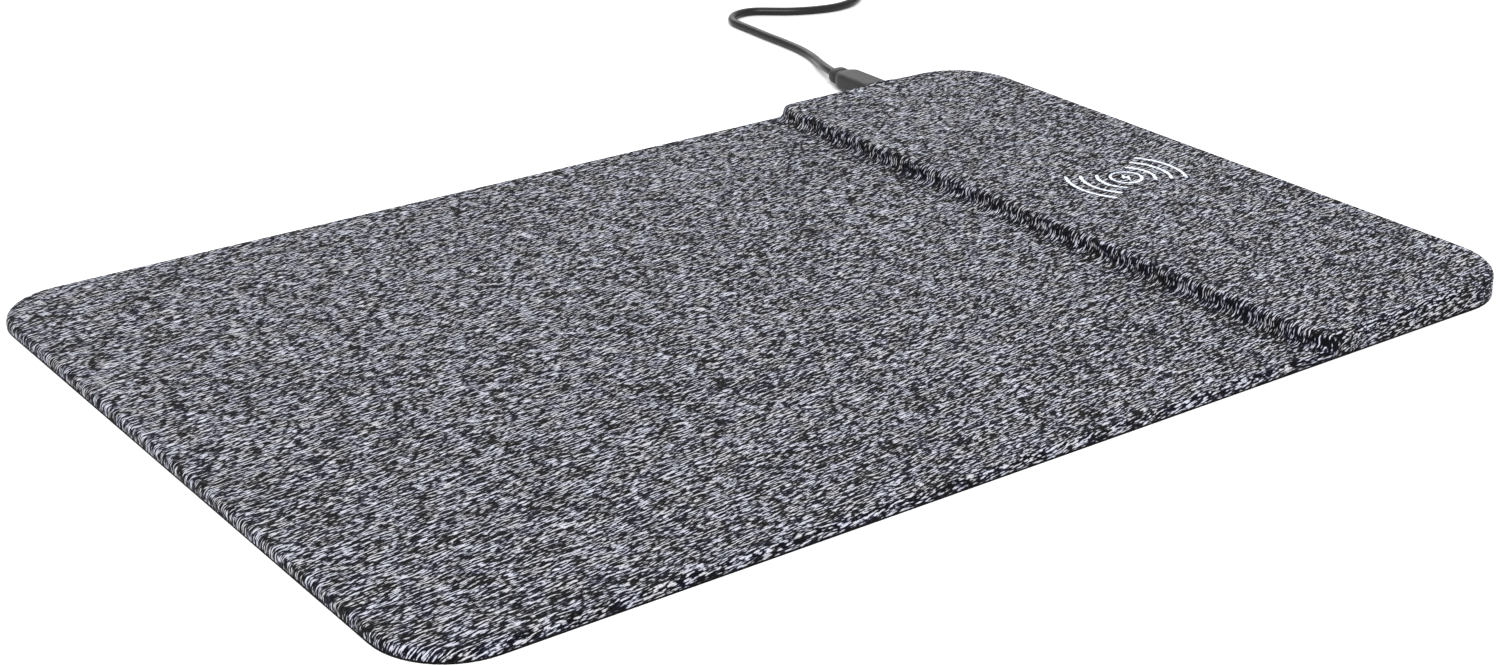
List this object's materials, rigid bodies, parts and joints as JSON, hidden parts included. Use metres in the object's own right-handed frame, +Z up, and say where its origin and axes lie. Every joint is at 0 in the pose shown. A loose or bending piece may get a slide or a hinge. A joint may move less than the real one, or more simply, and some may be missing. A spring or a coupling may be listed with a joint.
{
  "type": "charging mouse pad",
  "caption": "Fabric-covered mouse pad with a raised wireless phone charging strip at the right end and a plug-in charge lead at the back.",
  "frame": {"origin": "on the desk under the middle of the pad, without the lead", "axes": "+X along the pad's length towards the charging strip, +Y to the back edge where the lead plugs in, +Z up"},
  "size_m": [0.4892, 0.364, 0.0097],
  "materials": {
    "knit_fabric": "heathered charcoal and pale grey jersey",
    "mark_print": "thin pale print",
    "base_rubber": "matte non-slip rubber",
    "foam": "closed-cell foam rubber",
    "shell_plastic": "fine moulded texture",
    "screw_steel": "zinc plated",
    "coil_copper": "varnished litz strand",
    "ferrite": "sintered grey ferrite",
    "tape": "double-sided tape",
    "cushion_foam": "open foam pad",
    "lead_wire": "enamelled wire",
    "board": "solder-masked glass laminate",
    "chip_black": "moulded package",
    "ceramic_tan": "ceramic chip",
    "inductor_grey": "pressed iron powder",
    "plated_shell": "nickel-plated sheet",
    "insert_black": "moulded insert",
    "contact_gold": "gold-plated contact",
    "grip_grey": "matte moulded grip",
    "lead_jacket": "matte soft PVC jacket",
    "tie_black": "plastic-coated wire tie",
    "insert_white": "moulded insert"
  },
  "bodies": {
    "pad": {"rubber_base": "base_rubber", "foam_core": "foam", "fabric_cover": "knit_fabric", "charging_mark": "mark_print", "charger_base": "shell_plastic", "charger_lid": "shell_plastic", "shell_screws": "screw_steel", "board_screws": "screw_steel", "charging_coil": "coil_copper", "coil_tape": "tape", "ferrite_shield": "ferrite", "coil_cushion": "cushion_foam", "coil_leads": "lead_wire", "thermistor": "lead_wire", "circuit_board": "board", "controller_chip": "chip_black", "power_inductor": "inductor_grey", "bridge_transistors": "chip_black", "resonant_capacitors": "ceramic_tan", "small_passives": "ceramic_tan", "usb_socket_shell": "plated_shell", "usb_socket_tongue": "insert_black", "usb_socket_contacts": "contact_gold"},
    "lead": {"micro_plug_shell": "plated_shell", "micro_plug_insert": "insert_black", "micro_plug_contacts": "contact_gold", "micro_plug_grip": "grip_grey", "micro_plug_collar": "grip_grey", "charge_lead": "lead_jacket", "lead_coil": "lead_jacket", "lead_tail": "lead_jacket", "lead_tie": "tie_black", "usb_a_relief": "grip_grey", "usb_a_grip": "grip_grey", "usb_a_shell": "plated_shell", "usb_a_tongue": "insert_white", "usb_a_contacts": "contact_gold"}
  },
  "joints": [
    {"name": "plug_pull", "type": "slide", "parent": "pad", "child": "lead", "axis": [0, 1, 0], "range_m": [0, 0.01]}
  ]
}
